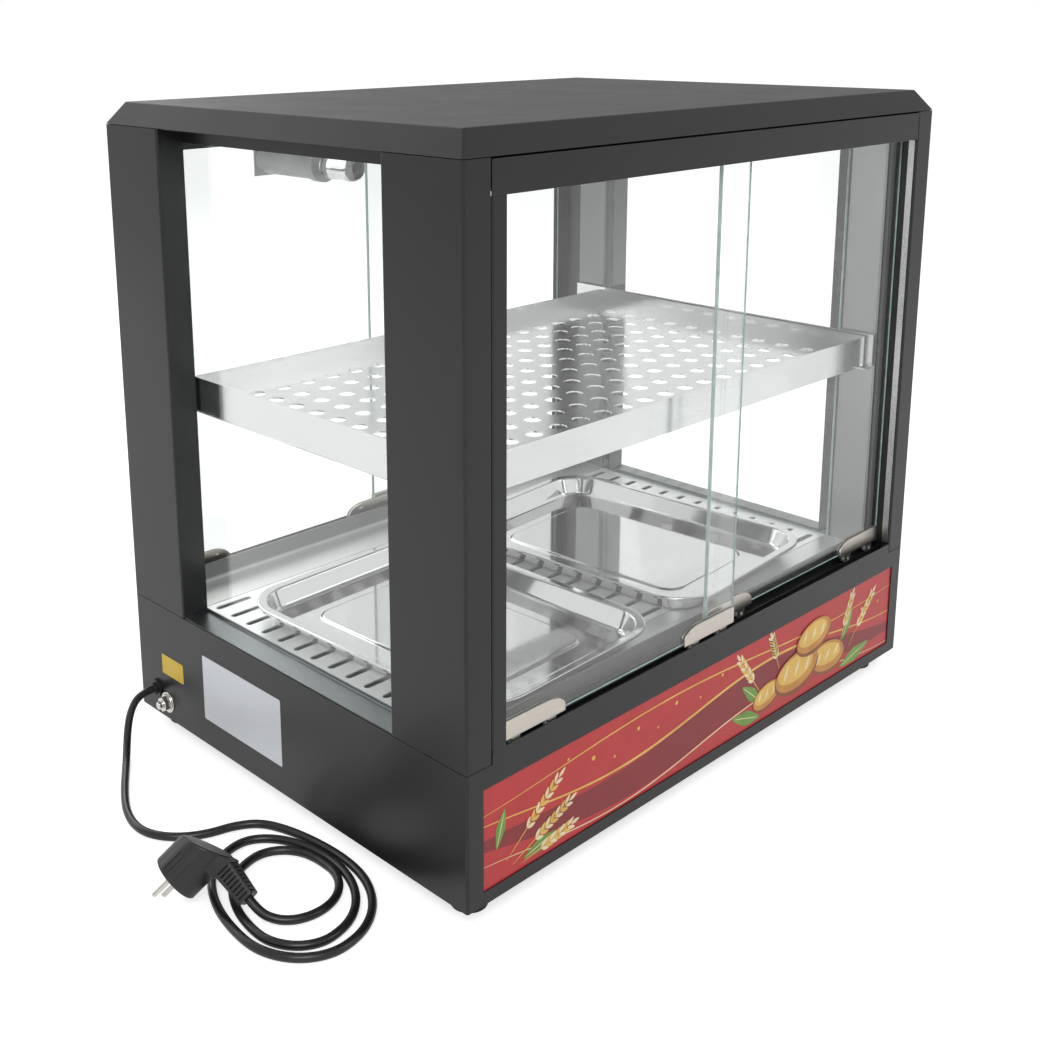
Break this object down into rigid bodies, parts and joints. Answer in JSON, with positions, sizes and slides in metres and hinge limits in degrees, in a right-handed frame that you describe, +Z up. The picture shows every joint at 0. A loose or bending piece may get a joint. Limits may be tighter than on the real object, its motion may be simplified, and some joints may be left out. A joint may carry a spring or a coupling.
{
  "type": "heated display case",
  "caption": "Counter-top heated food display case: black steel frame, glass sides, sliding glass doors front and back, perforated shelf, loose pans, heated base and mains cord.",
  "frame": {"origin": "on the counter under the middle of the case, level with the bottoms of the feet", "axes": "+X to the right seen from the customer's side, +Y from the banner at the front to the controls at the back, +Z up"},
  "size_m": [0.8208, 0.4871, 0.628],
  "materials": {
    "black_coat": "satin fine-textured black powder coat",
    "banner_film": "glossy printed plastic panel, deep red",
    "stainless": "brushed stainless sheet",
    "clear_glass": "clear float glass with green edges",
    "clip_metal": "satin warm-grey metal",
    "roller_plastic": "off-white moulded plastic",
    "black_plastic": "moulded black plastic, fine grain",
    "cord_sheath": "smooth black flexible sheath, slight gloss",
    "foot_rubber": "matt black rubber",
    "plug_brass": "nickel-plated metal",
    "lamp_holder_grey": "grey heat-proof moulding",
    "amber_lens": "translucent amber lens"
  },
  "bodies": {
    "case": {"base_shell": "black_coat", "bottom_cover": "black_coat", "feet": "foot_rubber", "banner_panel": "banner_film", "post_front_left": "black_coat", "post_front_right": "black_coat", "post_rear_left": "black_coat", "post_rear_right": "black_coat", "post_liners": "stainless", "top_lid": "black_coat", "ceiling_panel": "stainless", "top_rails": "black_coat", "bottom_tracks": "black_coat", "jamb_strips": "black_coat", "side_glass_left": "clear_glass", "side_glass_right": "clear_glass", "side_glass_retainers": "stainless", "side_soffits": "black_coat", "shelf_rails": "stainless", "floor_plate": "stainless", "floor_liner": "stainless", "sill_plates": "stainless", "lamp_holder": "lamp_holder_grey", "lamp_bulb": "clear_glass", "heating_elements": "stainless", "heat_shield": "stainless", "control_panel": "black_coat", "panel_screws": "stainless", "thermostat_body": "lamp_holder_grey", "switch_housings": "black_plastic", "pilot_lamp": "amber_lens", "terminal_block": "lamp_holder_grey", "earth_stud": "stainless", "cable_gland": "black_plastic", "cord_lead": "cord_sheath", "cord_coil": "cord_sheath", "cord_tail": "cord_sheath", "plug_body": "black_plastic", "plug_pins": "plug_brass"},
    "front_outer_door": {"front_outer_door_pane": "clear_glass", "front_outer_door_clips": "clip_metal", "front_outer_door_rollers": "roller_plastic"},
    "front_inner_door": {"front_inner_door_pane": "clear_glass", "front_inner_door_clips": "clip_metal", "front_inner_door_rollers": "roller_plastic"},
    "rear_outer_door": {"rear_outer_door_pane": "clear_glass", "rear_outer_door_clips": "clip_metal", "rear_outer_door_rollers": "roller_plastic"},
    "rear_inner_door": {"rear_inner_door_pane": "clear_glass", "rear_inner_door_clips": "clip_metal", "rear_inner_door_rollers": "roller_plastic"},
    "shelf": {"shelf_frame": "stainless", "shelf_plate": "stainless"},
    "left_pan": {"left_pan": "stainless"},
    "right_pan": {"right_pan": "stainless"},
    "thermostat_knob": {"thermostat_knob": "black_plastic", "thermostat_spindle": "plug_brass"},
    "power_rocker": {"power_rocker": "black_plastic"},
    "lamp_rocker": {"lamp_rocker": "black_plastic"}
  },
  "joints": [
    {"name": "front_outer_door_slide", "type": "slide", "parent": "case", "child": "front_outer_door", "axis": [1, 0, 0], "range_m": [0, 0.281]},
    {"name": "front_inner_door_slide", "type": "slide", "parent": "case", "child": "front_inner_door", "axis": [-1, 0, 0], "range_m": [0, 0.293]},
    {"name": "rear_outer_door_slide", "type": "slide", "parent": "case", "child": "rear_outer_door", "axis": [-1, 0, 0], "range_m": [0, 0.281]},
    {"name": "rear_inner_door_slide", "type": "slide", "parent": "case", "child": "rear_inner_door", "axis": [1, 0, 0], "range_m": [0, 0.293]},
    {"name": "shelf_lift", "type": "slide", "parent": "case", "child": "shelf", "axis": [0, 0, 1], "range_m": [0, 0.12]},
    {"name": "left_pan_lift", "type": "slide", "parent": "case", "child": "left_pan", "axis": [0, 0, 1], "range_m": [0, 0.15]},
    {"name": "right_pan_lift", "type": "slide", "parent": "case", "child": "right_pan", "axis": [0, 0, 1], "range_m": [0, 0.15]},
    {"name": "thermostat_turn", "type": "hinge", "parent": "case", "child": "thermostat_knob", "pos_m": [0.06, 0.24, 0.078], "axis": [0, -1, 0], "range_deg": [0, 270]},
    {"name": "power_switch_rock", "type": "hinge", "parent": "case", "child": "power_rocker", "pos_m": [0.13, 0.2293, 0.078], "axis": [1, 0, 0], "range_deg": [0, 20]},
    {"name": "lamp_switch_rock", "type": "hinge", "parent": "case", "child": "lamp_rocker", "pos_m": [0.178, 0.2293, 0.078], "axis": [1, 0, 0], "range_deg": [0, 20]}
  ]
}
